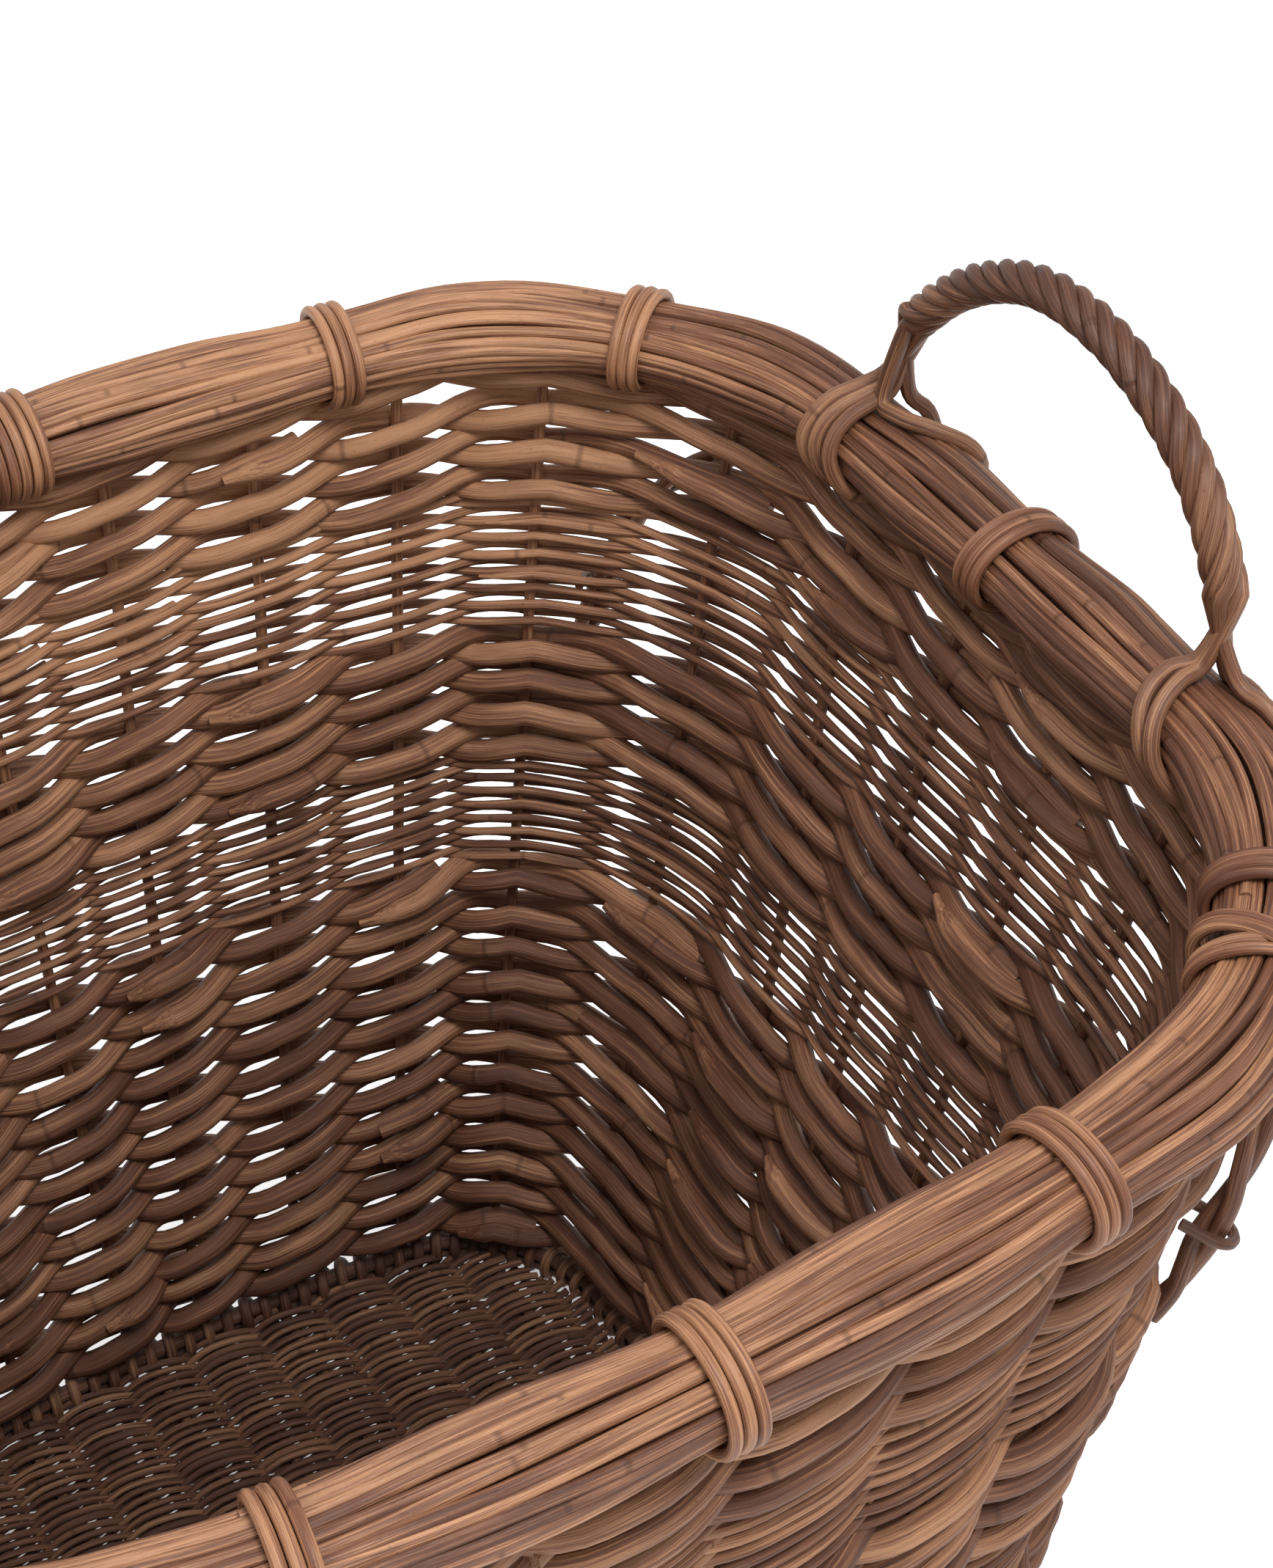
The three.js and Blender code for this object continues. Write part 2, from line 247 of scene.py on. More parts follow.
class Graph:
    """Adds and joins nodes in one tree."""

    def __init__(self, tree):
        self.tree = tree

    def node(self, kind, settings=None, inputs=None, output=0):
        made = self.tree.nodes.new(kind)
        for key, value in (settings or {}).items():
            if key == "stops":
                ramp = made.color_ramp
                while len(ramp.elements) < len(value):
                    ramp.elements.new(0.5)
                for element, (place, colour) in zip(ramp.elements, value):
                    element.position, element.color = place, (*colour, 1)
            else:
                setattr(made, key, value)
        for key, value in (inputs or {}).items():
            if isinstance(value, Value):
                self.tree.links.new(value.socket, made.inputs[key])
            else:
                made.inputs[key].default_value = value
        return Value(self, made.outputs[output]) if made.outputs else made

    def maths(self, operation, *values):
        return self.node("ShaderNodeMath", {"operation": operation}, dict(enumerate(values)))

    def step(self, low, high, value):
        """0 below low, 1 above high, smooth between."""
        return self.node("ShaderNodeMapRange", {"interpolation_type": "SMOOTHSTEP"},
                         {"Value": value, "From Min": low, "From Max": high})

    def vector(self, x, y, z):
        return self.node("ShaderNodeCombineXYZ", None, {0: x, 1: y, 2: z})

    def noise(self, vector, detail=2.0, roughness=0.5):
        return self.node("ShaderNodeTexNoise", {"noise_dimensions": "3D"}, {
            "Vector": vector, "Scale": 1.0, "Detail": detail, "Roughness": roughness})

    def mix(self, factor, first, second, blend="MIX"):
        """Mix of two colours; a colour is a Value or three numbers."""
        def colour(c):
            return c if isinstance(c, Value) else (*c, 1)
        return self.node("ShaderNodeMix", {"data_type": "RGBA", "blend_type": blend}, {
            0: factor, 6: colour(first), 7: colour(second)}, output=2)


# How fine each pattern of the cane is, in patches a metre: across the cane, then along it.
FIBRE = (2600.0, 42.0)
STREAK = (700.0, 14.0)
PATCH = (90.0, 17.0)
FLECK = (1500.0, 500.0)
# The same for the pores of a cut end.
PITH = 3800.0
# Joints of the plant: metres from one to the next, and half a joint as a share of that.
JOINT_EVERY = 0.21
JOINT_WIDTH = 0.008


def cane_shader(name, pale, dark, roughness, coat=0.0, stain=0.35):
    """Split or whole cane: long fibres, slow changes of tone, dark stains and pale cut ends."""
    material = bpy.data.materials.new(name)
    material.use_nodes = True
    material.node_tree.nodes.clear()
    g = Graph(material.node_tree)

    def read(attribute, output=2):
        return g.node("ShaderNodeAttribute", {"attribute_name": attribute}, None, output)

    along, tone, seed, cut = read("along"), read("tone"), read("seed"), read("cut")
    ring = g.node("ShaderNodeSeparateXYZ", None, {0: read("ring", 1)})
    ring_x, ring_y = ring, Value(g, ring.socket.node.outputs[1])
    girth = read("girth")
    x, y = ring_x * girth, ring_y * girth
    shift = seed * 37.0
    fibre = g.noise(g.vector(x * FIBRE[0], y * FIBRE[0], along * FIBRE[1] + shift), 3.0, 0.65)
    streak = g.noise(g.vector(x * STREAK[0] + shift, y * STREAK[0], along * STREAK[1]), 3.0, 0.6)
    patch = g.noise(g.vector(x * PATCH[0], y * PATCH[0] + shift, along * PATCH[1]), 2.0, 0.5)
    fleck = g.noise(g.vector(x * FLECK[0] + shift, y * FLECK[0], along * FLECK[1]), 2.0, 0.6)
    place = g.maths("FRACT", along / JOINT_EVERY + seed)
    joint = 1.0 - g.step(0.0, JOINT_WIDTH, g.maths("ABSOLUTE", place - 0.5))

    # The tone holds each cane's own tone plus painted light and shade for its place in the basket.
    shade = (0.5 + (tone - 0.5) * 0.6 + (streak - 0.5) * 1.9 + (patch - 0.5) * 1.5
             + (fibre - 0.5) * 1.9)
    colour = g.node("ShaderNodeValToRGB", {"stops": [
        (0.0, dark), (0.5, [(a * b) ** 0.5 for a, b in zip(dark, pale)]), (1.0, pale)]},
        {"Fac": shade})
    stains = g.step(0.60, 0.74, streak * 0.5 + patch * 0.62)
    colour = g.mix(stains * stain, colour, [c * 0.32 for c in dark])
    colour = g.mix(g.step(0.66, 0.74, fleck) * 0.5, colour, [c * 0.3 for c in dark])
    colour = g.mix(joint * 0.45, colour, [c * 0.45 for c in dark])
    pith = g.noise(g.vector(x * PITH, y * PITH, shift), 1.0, 0.5)
    pith_colour = g.mix(g.step(0.45, 0.6, pith), [c * 0.8 for c in pale], [c * 0.9 for c in dark])
    colour = g.mix(cut, colour, pith_colour)

    height = fibre * 0.55 + streak * 0.45 + joint * 0.5
    bump = g.node("ShaderNodeBump", None, {
        "Strength": 0.8, "Distance": 0.0009, "Height": height})
    shader = g.node("ShaderNodeBsdfPrincipled", None, {
        "Base Color": colour, "Roughness": roughness + (fibre - 0.5) * 0.3, "Normal": bump,
        "Specular IOR Level": 0.4})
    principled = shader.socket.node
    principled.inputs["Coat Weight"].default_value = coat
    principled.inputs["Coat Roughness"].default_value = 0.35
    g.node("ShaderNodeOutputMaterial", None, {"Surface": shader})
    return material


def floor_shader(name, colour):
    material = bpy.data.materials.new(name)
    material.use_nodes = True
    material.node_tree.nodes.clear()
    g = Graph(material.node_tree)
    place = g.node("ShaderNodeTexCoord", None, None, 3)
    cloud = g.noise(g.node(
        "ShaderNodeVectorMath", {"operation": "SCALE"}, {0: place, "Scale": 3.0}))
    shade = g.mix(cloud, [c * 0.985 for c in colour], colour)
    shader = g.node("ShaderNodeBsdfPrincipled", None, {
        "Base Color": shade, "Roughness": 0.9, "Emission Color": shade, "Emission Strength": 0.4})
    g.node("ShaderNodeOutputMaterial", None, {"Surface": shader})
    return material


def cane_tree():
    """Geometry Nodes: sweeps a round cane, uneven in girth, along every wire path."""
    tree = bpy.data.node_groups.new("Canes along paths", "GeometryNodeTree")
    sockets = tree.interface
    sockets.new_socket("Paths", in_out="INPUT", socket_type="NodeSocketGeometry")
    sides = sockets.new_socket("Sides", in_out="INPUT", socket_type="NodeSocketInt")
    sides.default_value, sides.min_value = 8, 3
    for name, value in (("Unevenness", 0.1), ("Uneven Every", 0.05), ("Fixed Seed", 3.0)):
        sockets.new_socket(name, in_out="INPUT", socket_type="NodeSocketFloat").default_value = value
    sockets.new_socket("Cane", in_out="INPUT", socket_type="NodeSocketMaterial")
    sockets.new_socket("Canes", in_out="OUTPUT", socket_type="NodeSocketGeometry")
    g = Graph(tree)
    entry = g.node("NodeGroupInput").socket.node

    def given(name):
        return Value(g, entry.outputs[name])

    def named(attribute):
        return g.node("GeometryNodeInputNamedAttribute", {"data_type": "FLOAT"}, {"Name": attribute})

    curve = g.node("GeometryNodeMeshToCurve", None, {"Mesh": given("Paths")})
    place = g.vector(named("along") / given("Uneven Every"), named("seed") * 53.0, given("Fixed Seed"))
    swell = (g.noise(place, 1.0) - 0.5) * 2.0 * given("Unevenness") + 1.0
    profile = g.node("GeometryNodeCurvePrimitiveCircle", {"mode": "RADIUS"},
                     {"Resolution": given("Sides"), "Radius": 1.0})
    profile = g.node("GeometryNodeStoreNamedAttribute", {"data_type": "FLOAT_VECTOR"}, {
        "Geometry": profile, "Name": "ring", "Value": g.node("GeometryNodeInputPosition")})
    canes = g.node("GeometryNodeCurveToMesh", None, {
        "Curve": curve, "Profile Curve": profile, "Scale": named("girth") * swell, "Fill Caps": True})
    corners = Value(g, g.node("GeometryNodeInputMeshFaceNeighbors").socket.node.outputs[0])
    cut = g.maths("GREATER_THAN", corners, 4.5)
    canes = g.node("GeometryNodeStoreNamedAttribute", {"data_type": "FLOAT", "domain": "FACE"}, {
        "Geometry": canes, "Name": "cut", "Value": cut})
    canes = g.node("GeometryNodeSetShadeSmooth", None, {
        "Geometry": canes, "Shade Smooth": g.maths("LESS_THAN", cut, 0.5)})
    canes = g.node("GeometryNodeRealizeInstances", None, {"Geometry": canes})
    canes = g.node("GeometryNodeSetMaterial", None, {"Geometry": canes, "Material": given("Cane")})
    leave = tree.nodes.new("NodeGroupOutput")
    tree.links.new(canes.socket, leave.inputs[0])
    return tree


def painted_light_and_shade(points):
    """How much paler (+) or darker (-) a cane is painted at a place in the basket: painted light on the
    upper far wall and the far rim, painted shade on the right end and low down.
    """
    x, y, z = points.T
    lit = smoothstep(0.24, 0.44, z) * smoothstep(0.02, 0.16, y) * (1 - smoothstep(0.20, 0.29, x))
    on_rim = smoothstep(0.428, 0.440, z)
    lit = lit * (0.75 * (1 - on_rim) + 0.6 * smoothstep(-0.05, 0.12, x) * on_rim)
    shaded = 0.34 * smoothstep(0.15, 0.26, x) * smoothstep(0.05, 0.3, z)
    return lit - shaded - 0.34 * (1 - smoothstep(0.05, 0.26, z))


class Canes:
    """Centre lines of many canes, gathered as one wire mesh with girth, tone and place along."""

    def __init__(self, seed):
        self.rng = np.random.default_rng(seed)
        self.points, self.edges = [], []
        self.values = {"girth": [], "tone": [], "seed": [], "along": []}
        self.count = 0

    def add(self, points, girth, tone=None, seed=None, start=0.0):
        points = np.asarray(points, float)
        number = len(points)
        steps = np.linalg.norm(np.diff(points, axis=0), axis=1)
        # Painted light and shade for the cane's place in the basket are added to its tone.
        tone = (self.rng.uniform(0.1, 0.9) if tone is None else tone) + painted_light_and_shade(points)
        seed = self.rng.uniform(0, 1) if seed is None else seed
        columns = {"girth": girth, "tone": tone, "seed": seed,
                   "along": start + np.concatenate([[0], np.cumsum(steps)])}
        for key, value in columns.items():
            self.values[key].append(np.broadcast_to(np.asarray(value, float), number))
        self.points.append(points)
        first = self.count + np.arange(number - 1)
        self.edges.append(np.stack([first, first + 1], 1))
        self.count += number

    def build(self, name, material, nodes, sides=8, unevenness=0.08):
        """Makes the piece: a plain mesh that stands for the given nodes of the frame."""
        mesh = bpy.data.meshes.new(name)
        mesh.from_pydata(np.vstack(self.points).tolist(), np.vstack(self.edges).tolist(), [])
        for key, parts in self.values.items():
            mesh.attributes.new(key, "FLOAT", "POINT").data.foreach_set("value", np.concatenate(parts))
        piece = bpy.data.objects.new(name + "_canes", mesh)
        bpy.context.scene.collection.objects.link(piece)
        tree = bpy.data.node_groups.get("Canes along paths") or cane_tree()
        sweep = piece.modifiers.new("Canes", "NODES")
        sweep.node_group = tree
        inputs = {"Sides": sides, "Unevenness": unevenness, "Cane": material}
        for item in tree.interface.items_tree:
            if item.name in inputs:
                sweep[item.identifier] = inputs[item.name]
        ready = piece.evaluated_get(bpy.context.evaluated_depsgraph_get())
        swept = bpy.data.meshes.new_from_object(ready)
        piece.modifiers.clear()
        piece.data = swept
        swept.name = name
        bpy.data.meshes.remove(mesh)
        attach(piece, "root")
        if nodes:
            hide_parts(*nodes)
        return piece


# ---- the wall ----
WEAVE_STEP = 0.1  # share of the way from one upright to the next
WEAVE_CURL = 0.7  # 0 would sway like a plain wave; more keeps a cane level past an upright
END_SWAY = 0.74  # the canes on the two ends are pulled straighter than on the long sides
ON_TOP = 0.85  # share of the cut ends that lie over their neighbour, inside the basket


def clasp(wave):
    """Fills a wave out, so that a cane lies longer against the upright that it passes."""
    return wave * (1.35 - 0.35 * wave ** 2)


class Band:
    """One band of twined rows: two canes cross between the uprights and clasp each of them."""

    def __init__(self, low, high, rows, girth, joints, sides, seed):
        self.low, self.rows, self.girth = low, rows, girth
        self.joints, self.sides, self.seed = joints, sides, seed
        self.pitch = (high - low) / rows


def twine_row(canes, z_row, band, upright):
    """One row: its way goes round twice, so that two canes lie side by side everywhere."""
    rng = canes.rng
    girth, pitch = band.girth, band.pitch
    reach = upright / 2 + girth * 0.96
    rise = min(pitch / 4, girth * 1.02)
    whole = 2 * UPRIGHTS
    swap = rng.integers(0, 2)
    fair = np.arange(0, whole, 2) + swap
    stops = np.sort(rng.choice(fair, band.joints, replace=False))
    drift_phase = rng.uniform(0, 2 * math.pi, 3)

    def drift(count):
        angle = count * 2 * math.pi / UPRIGHTS
        return pitch * 0.05 * sum(np.sin(angle * n + p) for n, p in zip((3, 7, 12), drift_phase))

    for i, stop in enumerate(stops):
        following = stops[(i + 1) % len(stops)] + (whole if i == len(stops) - 1 else 0)
        on_top = (rng.uniform(size=2) < ON_TOP)[0]  # two draws, and only the first is used
        start = stop - rng.uniform(0.25, 0.55)
        end = following + rng.uniform(0.2, 0.5)
        count = np.arange(start, end + WEAVE_STEP / 2, WEAVE_STEP)
        turn = math.pi * (count - swap)
        hand = twist_hand(count)
        inward = reach * np.where(hand > 0, 1, END_SWAY) * clasp(np.cos(turn))
        height = -rise * hand * np.sin(turn) * np.abs(np.sin(turn)) ** WEAVE_CURL
        over = smoothstep(following - 0.75, following - 0.1, count) if on_top else 0
        inward = inward + over * girth * 0.95
        height = height + over * girth * rng.uniform(-0.4, 0.7)
        under = 1 - smoothstep(stop - 0.2, stop + 0.6, count)
        inward = inward - under * girth * 0.5
        height = height + drift(count) + wander(rng, count, 5, pitch * 0.03) + under * girth * 0.5
        inward = inward + wander(rng, count, 4, girth * 0.10)
        z = z_row + height
        points = wall.at(upright_quarters(count, z), z, -inward)
        size = girth * rng.uniform(0.9, 1.08)
        taper = 1 + rng.uniform(-0.08, 0.08) * np.linspace(-1, 1, len(count))
        if on_top:  # the cane is cut to a slant where it ends
            taper = taper * (1 - 0.6 * smoothstep(end - 0.3, end, count))
        canes.add(points, size * taper, start=rng.uniform(0, 1))


def build_band(node, band, upright, material):
    canes = Canes(band.seed)
    for row in range(band.rows):
        twine_row(canes, band.low + band.pitch * (row + 0.5), band, upright)
    return canes.build(node, material, [node], band.sides, 0.07)


class BasketSizes(bpy.types.PropertyGroup):
    """Sizes and colours of the basket's canes."""

    thick_weaver: FloatProperty(
        name="Thick weaver", description="Diameter of the canes in the closed bands",
        default=0.0090, min=0.004, max=0.012, unit="LENGTH", precision=4)
    upper_weaver: FloatProperty(
        name="Upper open weaver", description="Diameter of the canes in the upper open band",
        default=0.0036, min=0.002, max=0.008, unit="LENGTH", precision=4)
    lower_weaver: FloatProperty(
        name="Lower open weaver", description="Diameter of the canes in the lower open band",
        default=0.0033, min=0.002, max=0.008, unit="LENGTH", precision=4)
    upright: FloatProperty(
        name="Upright", description="Diameter of the upright sticks",
        default=0.0044, min=0.002, max=0.01, unit="LENGTH", precision=4)
    rim_cane: FloatProperty(
        name="Rim cane", description="Diameter of the canes bundled in the rim",
        default=0.0044, min=0.002, max=0.008, unit="LENGTH", precision=4)
    binding_cane: FloatProperty(
        name="Binding cane", description="Diameter of the canes bound round the rim",
        default=0.0040, min=0.002, max=0.006, unit="LENGTH", precision=4)
    base_cane: FloatProperty(
        name="Base cane", description="Diameter of the thin canes woven in the base",
        default=0.0031, min=0.0015, max=0.006, unit="LENGTH", precision=4)
    rim_canes: IntProperty(
        name="Canes in the rim", description="How many canes show round the rim", default=27, min=8, max=40)
    pale: FloatVectorProperty(
        name="Pale cane", description="Palest colour of the dried cane", subtype="COLOR",
        default=(0.47, 0.234, 0.118), min=0, max=1)
    dark: FloatVectorProperty(
        name="Dark cane", description="Darkest colour of the dried cane", subtype="COLOR",
        default=(0.078, 0.0255, 0.0122), min=0, max=1)
    floor: FloatVectorProperty(
        name="Floor", description="Colour of the studio floor", subtype="COLOR",
        default=(0.92, 0.92, 0.92), min=0, max=1)


def scaled(colour, factor):
    return [min(1, c * factor) for c in colour]


# Heading, pitch and roll of the camera in degrees, its lens and sensor in millimetres, its place.
CAMERA_TURNS = (32.217, 41.764, 0.513)
CAMERA_LENS, CAMERA_SENSOR = 76.38, 36
CAMERA_PLACE = (-0.29962, -0.66840, 1.12755)
# Lamps: name, place, diameter and power.
LAMPS = (("key", (0.1, -0.75, 2.1), 0.9, 30.0), ("fill", (-1.2, 0.7, 1.9), 1.4, 6.0))
LAMP_AIM = (0, 0, 0.3)


class BASKET_OT_stage(bpy.types.Operator):
    """Lays the pale floor, hangs the studio lights and sets the camera"""
    bl_idname = "basket.stage"
    bl_label = "Stage"

    def execute(self, context):
        sizes = context.scene.basket_sizes
        span = 6.0
        mesh = bpy.data.meshes.new("studio_floor")
        mesh.from_pydata([(-span, -span, 0), (span, -span, 0), (span, span, 0), (-span, span, 0)],
                         [], [(0, 1, 2, 3)])
        floor = bpy.data.objects.new("studio_floor", mesh)
        context.scene.collection.objects.link(floor)
        mesh.materials.append(floor_shader("studio_paper", sizes.floor))

        world = bpy.data.worlds.new("studio")
        context.scene.world = world
        world.use_nodes = True
        sky = world.node_tree.nodes["Background"]
        sky.inputs["Color"].default_value = (1, 1, 1, 1)
        sky.inputs["Strength"].default_value = 0.75
        for name, place, size, power in LAMPS:
            lamp = bpy.data.lights.new(name, "AREA")
            lamp.shape, lamp.size, lamp.energy = "DISK", size, power
            holder = bpy.data.objects.new(name, lamp)
            holder.location = place
            aim = Vector(LAMP_AIM) - Vector(place)
            holder.rotation_euler = aim.to_track_quat("-Z", "Y").to_euler()
            context.scene.collection.objects.link(holder)

        heading, pitch, roll = (math.radians(angle) for angle in CAMERA_TURNS)
        ahead = Vector((math.sin(heading) * math.cos(pitch), math.cos(heading) * math.cos(pitch),
                        -math.sin(pitch)))
        across = Vector((math.cos(heading), -math.sin(heading), 0))
        upward = across.cross(ahead)
        right = math.cos(roll) * across + math.sin(roll) * upward
        above = math.cos(roll) * upward - math.sin(roll) * across
        turn = Matrix((right, above, -ahead)).transposed().to_4x4()
        camera = bpy.data.cameras.new("camera")
        camera.lens, camera.sensor_width = CAMERA_LENS, CAMERA_SENSOR
        camera.clip_end = 20
        eye = bpy.data.objects.new("camera", camera)
        eye.matrix_world = Matrix.Translation(CAMERA_PLACE) @ turn
        context.scene.collection.objects.link(eye)
        context.scene.camera = eye
        context.scene.view_settings.view_transform = "Standard"
        return {"FINISHED"}


# The top band starts a little below its node's box, and its last row is tucked up under the rim.
TOP_BAND_DROP, TOP_BAND_TUCK = 0.004, 0.0112


class BASKET_OT_wall(bpy.types.Operator):
    """Twines the five bands of the wall round the uprights"""
    bl_idname = "basket.wall"
    bl_label = "Wall"

    def execute(self, context):
        sizes = context.scene.basket_sizes
        material = cane_shader("wall_cane", scaled(sizes.pale, 0.9), sizes.dark, 0.62)
        thick = sizes.thick_weaver / 2
        bands = {  # rows, half thickness, joints in each row, sides of a cane, seed
            "weave_bottom_thick": (12, thick * 1.05, 4, 10, 21),
            "weave_lower_open": (8, sizes.lower_weaver / 2, 3, 8, 22),
            "weave_middle_thick": (4, thick, 4, 12, 23),
            "weave_upper_open": (8, sizes.upper_weaver / 2, 4, 8, 24),
            "weave_top_thick": (4, thick * 0.94, 5, 12, 25),
        }
        for node, settings in bands.items():
            low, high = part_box(node)
            bottom, top = low.z, high.z
            if node == "weave_top_thick":
                bottom, top = low.z - TOP_BAND_DROP, high.z + TOP_BAND_TUCK
            build_band(node, Band(bottom, top, *settings), sizes.upright, material)

        canes = Canes(31)
        for number in range(UPRIGHTS):
            z = np.linspace(0.004, RIM_Z - 0.002, 70)
            quarters = upright_quarters(np.full(z.size, float(number)), z)
            points = wall.at(quarters, z, wander(canes.rng, z, 0.08, 0.0004))
            canes.add(points, sizes.upright / 2, tone=canes.rng.uniform(0.1, 0.5))
        canes.build("uprights", material, [], 10, 0.05)
        return {"FINISHED"}


RIB_GAP = 0.030
RIB_GIRTH = 0.0026
BASE_INSET = 0.0055
COIL_TURNS = 150
COIL_GIRTH = 0.0025
COIL_PIECES = 9
# How far inside the border's sides, and inside its top, the coil's middle line runs.
COIL_MARGINS = (0.0026, 0.0028)
# Two hoops inside the coiled border: height, distance off the wall's middle.
HOOPS = ((0.0052, 0.001), (0.0118, -0.001))
HOOP_GIRTH = 0.0036


class BASKET_OT_base(bpy.types.Operator):
    """Weaves the base panel and coils the cane round its edge"""
    bl_idname = "basket.base"
    bl_label = "Base"

    def execute(self, context):
        sizes = context.scene.basket_sizes
        material = cane_shader("base_cane", scaled(sizes.pale, 0.6), scaled(sizes.dark, 0.6), 0.66)
        low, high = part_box("base_panel")
        middle = (low.z + high.z) / 2
        girth = sizes.base_cane / 2
        quarters = np.linspace(0, 1, 101)
        far = wall.at(quarters, BASE_Z, -BASE_INSET)
        near = wall.at(-quarters, BASE_Z, -BASE_INSET)
        canes = Canes(41)
        rng = canes.rng
        ribs = np.arange(-5, 6) * RIB_GAP
        pitch = girth * 2.75
        rows = int(far[:, 1].max() / pitch)
        for row in range(-rows, rows + 1):
            y = row * pitch
            edge = far if y > 0 else near
            reach = float(np.interp(abs(y), abs(edge[:, 1]), edge[:, 0]))
            x = np.arange(-reach, reach, RIB_GAP / 7)
            turn = math.pi * x / RIB_GAP
            for strand in (0, math.pi):
                rise = (RIB_GIRTH + girth) * clasp(np.cos(turn + strand))
                side = -girth * 0.9 * np.sin(turn + strand)
                points = np.stack([x, y + side + wander(rng, x, 0.11, 0.0006), middle + rise], 1)
                canes.add(points, girth * rng.uniform(0.88, 1.12), start=rng.uniform(0, 1))
        for x in ribs:
            ends = [float(np.interp(-abs(x), -edge[:, 0], edge[:, 1])) for edge in (near, far)]
            y = np.linspace(*ends, 60)
            points = np.stack([x + wander(rng, y, 0.2, 0.0008), y, np.full(60, middle)], 1)
            canes.add(points, RIB_GIRTH, tone=0.45)
        canes.build("base_panel", material, ["base_panel"], 6, 0.1)

        canes = Canes(42)
        rng = canes.rng
        low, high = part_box("base_border")
        half, middle = (high.z - low.z) / 2, (high.z + low.z) / 2
        angle = np.arange(0, COIL_TURNS * 2 * math.pi, 2 * math.pi / 14)
        quarters = 4 * angle / angle[-1] + 0.004 * np.sin(angle)
        swell = wander(rng, angle, 40, 0.0006)
        wide = WALL_HALF - COIL_MARGINS[0] + swell
        tall = half - COIL_MARGINS[1] + swell * 0.5
        core = wall.at(quarters, middle)
        out = wall.outward(quarters, middle)
        points = core + out * (wide * np.cos(angle))[:, None]
        points[:, 2] = middle + tall * np.sin(angle)
        for part in range(COIL_PIECES):
            first = len(points) * part // COIL_PIECES
            last = len(points) * (part + 1) // COIL_PIECES + 3
            canes.add(points[first:last], COIL_GIRTH * rng.uniform(0.9, 1.08))
        for height, away in HOOPS:
            canes.add(wall.at(np.linspace(0, 4, 340), height, away), HOOP_GIRTH, tone=0.2)
        canes.build("base_border", material, ["base_border"], 7, 0.1)
        return {"FINISHED"}


def levelled(directions):
    """The same directions laid level with the floor, one metre long."""
    flat = directions * (1, 1, 0)
    return flat / np.linalg.norm(flat, axis=-1)[..., None]


def rim_points(way, angle, grow=0.0):
    """Points on the rim: way round in metres, angle round the bundle from outward up, and growth."""
    way, angle, grow = np.broadcast_arrays(
        np.asarray(way, float), np.asarray(angle, float), np.asarray(grow, float))
    centre = wall.at(way / RIM_QUARTER, RIM_Z)
    out = levelled(wall.outward(way / RIM_QUARTER, RIM_Z))
    points = centre + out * ((RIM_HALF_WIDTH + grow) * np.cos(angle))[:, None]
    points[:, 2] = RIM_Z + (RIM_HALF_HEIGHT + grow) * np.sin(angle)
    return points


HALF_ROUND = RIM_ROUND / 2
# Middle of each binding, in metres round the rim from the middle of the right end.
BINDINGS = {
    "wrap_end_right": 0.0,
    "wrap_corner_far_right": 0.184,
    "wrap_side_far_right": 0.297,
    "wrap_side_far_left": HALF_ROUND - 0.297,
    "wrap_corner_far_left": HALF_ROUND - 0.184,
    "wrap_end_left": HALF_ROUND,
    "wrap_corner_near_left": HALF_ROUND + 0.178,
    "wrap_side_near_left": HALF_ROUND + 0.312,
    "wrap_side_near_middle": 1.5 * HALF_ROUND,
    "wrap_side_near_right": RIM_ROUND - 0.312,
    "wrap_corner_near_right": RIM_ROUND - 0.178,
}
SPLICE = HALF_ROUND / 2
CROSSED = RIM_ROUND - 0.210
FOOT = 0.090  # from the middle of an end to each foot of its handle

RIM_SWELL = 0.0021
# Darker canes that fill the bundle: how many, how deep under its skin, half thickness.
RIM_FILL = (12, 0.0072, 0.0031)
RIM_CORE_DEPTH, RIM_CORE_GIRTH = 0.0125, 0.0052


def swelling(way):
    """How far the rim's canes stand out between the bindings that pull them in."""
    feet = [FOOT, -FOOT, HALF_ROUND - FOOT, HALF_ROUND + FOOT]
    stops = np.array([*BINDINGS.values(), SPLICE, CROSSED, *feet])
    apart = np.abs((way[:, None] - stops + HALF_ROUND) % RIM_ROUND - HALF_ROUND).min(1)
    return RIM_SWELL * smoothstep(0.004, 0.05, apart)


